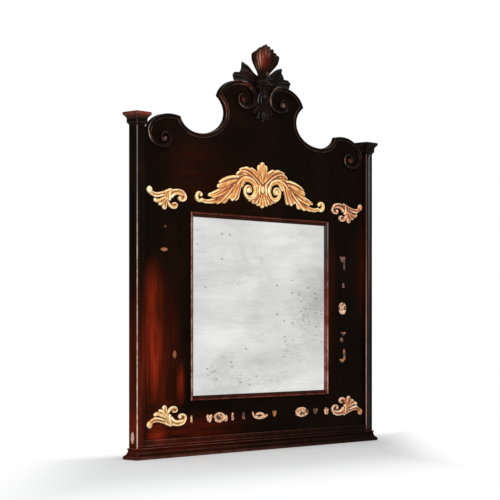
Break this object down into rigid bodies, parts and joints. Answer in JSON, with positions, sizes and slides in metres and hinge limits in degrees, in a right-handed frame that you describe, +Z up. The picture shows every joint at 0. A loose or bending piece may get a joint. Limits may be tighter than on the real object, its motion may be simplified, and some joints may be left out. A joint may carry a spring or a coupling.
{
  "type": "wall mirror",
  "caption": "Dark wooden wall mirror on a plinth, with square posts, a scroll-cut pediment, a carved shell crest and gilt scroll mounts; turn buttons hold its backing board.",
  "frame": {"origin": "centre of the plinth's footprint, on the surface that the mirror stands on", "axes": "+Z up, -Y towards the viewer out of the glass, +X to the viewer's right"},
  "size_m": [1.024, 0.055, 1.1398],
  "materials": {
    "dark_wood": "near-black stain over mahogany, polished, rubbed red-brown at the arrises and the lower left",
    "crest_wood": "red-brown carved mahogany, dark in the flutes",
    "raw_wood": "bare softwood and beech",
    "backing_ply": "bare plywood, aged",
    "mirror_glass": "silvered glass with fine specks and faint streaks",
    "gilding": "worn cream-gold gilding, orange-brown in the recesses",
    "brass": "dull brass",
    "steel": "plain zinc-plated steel"
  },
  "bodies": {
    "root": {"left_post": "dark_wood", "right_post": "dark_wood", "left_capital": "dark_wood", "right_capital": "dark_wood", "capital_dowels": "raw_wood", "plinth_board": "dark_wood", "plinth_screws": "steel", "neck_moulding_front": "dark_wood", "neck_moulding_back": "dark_wood", "neck_moulding_left": "dark_wood", "neck_moulding_right": "dark_wood", "bottom_rail": "dark_wood", "rail_bead": "dark_wood", "lower_panel_rail": "dark_wood", "left_stile": "dark_wood", "right_stile": "dark_wood", "pediment_board": "dark_wood", "panel_dowels": "raw_wood", "left_edge_lip": "dark_wood", "right_edge_lip": "dark_wood", "left_shoulder_volute": "dark_wood", "right_shoulder_volute": "dark_wood", "left_crest_volute": "dark_wood", "right_crest_volute": "dark_wood", "crest_shell": "crest_wood", "left_crest_leaf": "dark_wood", "right_crest_leaf": "dark_wood", "crest_drop": "dark_wood", "crest_brace": "raw_wood", "brace_screws": "steel", "sight_moulding_top": "dark_wood", "sight_moulding_bottom": "dark_wood", "sight_moulding_left": "dark_wood", "sight_moulding_right": "dark_wood", "mirror_glass": "mirror_glass", "glass_blocking": "raw_wood", "backing_board": "backing_ply", "gilt_centre_mount": "gilding", "gilt_corner_top_left": "gilding", "gilt_corner_top_right": "gilding", "gilt_corner_low_left": "gilding", "gilt_corner_low_right": "gilding", "gilt_husks_rail": "gilding", "gilt_husks_stile": "gilding", "button_washers": "steel", "button_screws": "steel", "left_hanger_plate": "steel", "right_hanger_plate": "steel", "hanger_screws": "steel"},
    "button_top": {"turn_button_top": "brass"},
    "button_bottom": {"turn_button_bottom": "brass"},
    "button_left_high": {"turn_button_left_high": "brass"},
    "button_left_low": {"turn_button_left_low": "brass"},
    "button_right_high": {"turn_button_right_high": "brass"},
    "button_right_low": {"turn_button_right_low": "brass"}
  },
  "joints": [
    {"name": "button_top_turn", "type": "hinge", "parent": "root", "child": "button_top", "pos_m": [0, 0.01005, 0.6795], "axis": [0, 1, 0], "continuous": true},
    {"name": "button_bottom_turn", "type": "hinge", "parent": "root", "child": "button_bottom", "pos_m": [0, 0.01005, 0.1215], "axis": [0, 1, 0], "continuous": true},
    {"name": "button_left_high_turn", "type": "hinge", "parent": "root", "child": "button_left_high", "pos_m": [-0.318, 0.01005, 0.5505], "axis": [0, 1, 0], "continuous": true},
    {"name": "button_left_low_turn", "type": "hinge", "parent": "root", "child": "button_left_low", "pos_m": [-0.318, 0.01005, 0.2505], "axis": [0, 1, 0], "continuous": true},
    {"name": "button_right_high_turn", "type": "hinge", "parent": "root", "child": "button_right_high", "pos_m": [0.318, 0.01005, 0.5505], "axis": [0, 1, 0], "continuous": true},
    {"name": "button_right_low_turn", "type": "hinge", "parent": "root", "child": "button_right_low", "pos_m": [0.318, 0.01005, 0.2505], "axis": [0, 1, 0], "continuous": true}
  ]
}
